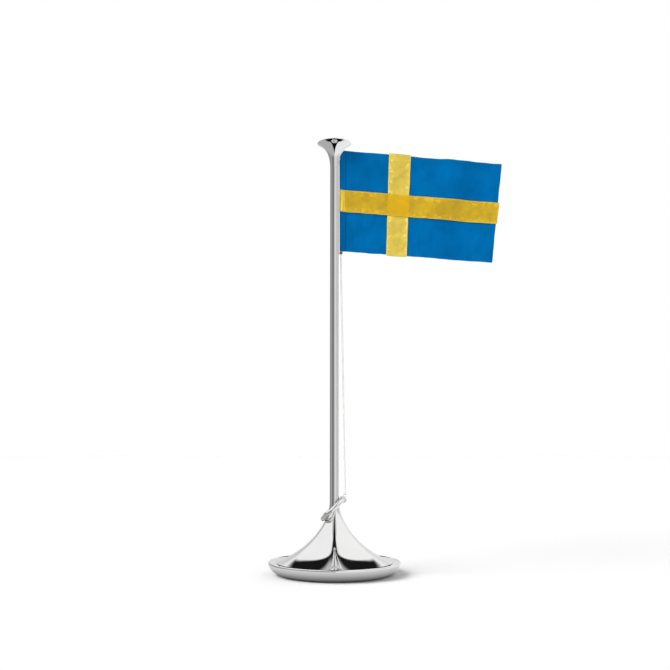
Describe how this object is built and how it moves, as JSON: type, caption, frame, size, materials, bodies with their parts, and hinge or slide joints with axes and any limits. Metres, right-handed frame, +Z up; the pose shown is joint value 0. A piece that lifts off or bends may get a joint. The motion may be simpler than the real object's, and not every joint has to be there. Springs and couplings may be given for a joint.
{
  "type": "desk flag stand",
  "caption": "Polished metal table flagpole with a saucer foot, trumpet cone and flared finial, a cloth cross flag on a line and a round-wire weight ring.",
  "frame": {"origin": "centre of the foot pad's underside, on the surface that the stand rests on", "axes": "+Z up along the pole, +X from the pole towards the flag's fly end, +Y away from a viewer who sees the flag fly to the right"},
  "size_m": [0.2127, 0.116, 0.39],
  "materials": {
    "polished_steel": "mirror polished",
    "zinc_plate": "zinc plated",
    "cast_iron": "as cast",
    "pad_rubber": "matt",
    "white_line": "braided",
    "blue_cloth": "plain weave",
    "yellow_ribbon": "fine ribbed weave",
    "brown_bead": "browned"
  },
  "bodies": {
    "stand": {"foot_pad": "pad_rubber", "base_dish": "polished_steel", "ballast_ring": "cast_iron", "base_cone": "polished_steel", "tie_rod": "zinc_plate", "tie_nut": "zinc_plate", "tie_washer": "zinc_plate", "pole_tube": "polished_steel", "lower_insert": "zinc_plate", "upper_insert": "zinc_plate", "finial_stud": "zinc_plate", "finial": "polished_steel", "top_knot": "white_line", "halyard": "white_line"},
    "flag": {"hoist_sleeve": "blue_cloth", "panel_upper_hoist": "blue_cloth", "panel_upper_fly": "blue_cloth", "panel_lower_hoist": "blue_cloth", "panel_lower_fly": "blue_cloth", "upright_band": "yellow_ribbon", "cross_band": "yellow_ribbon", "lower_stop": "brown_bead"},
    "line_end": {"halyard_tail": "white_line", "ring_hitch": "white_line"},
    "ring": {"weight_ring": "polished_steel"}
  },
  "joints": [
    {"name": "flag_swing", "type": "hinge", "parent": "stand", "child": "flag", "pos_m": [0.006, 0, 0.3833], "axis": [0, 0, 1], "range_deg": [-110, 110]},
    {"name": "ring_lift", "type": "slide", "parent": "stand", "child": "line_end", "axis": [0, 0, 1], "range_m": [0, 0.2], "deforming": ["halyard_tail"]},
    {"name": "ring_tilt", "type": "hinge", "parent": "line_end", "child": "ring", "pos_m": [0.00715, 0, 0.0649], "axis": [0, 1, 0], "range_deg": [0, 90]}
  ]
}
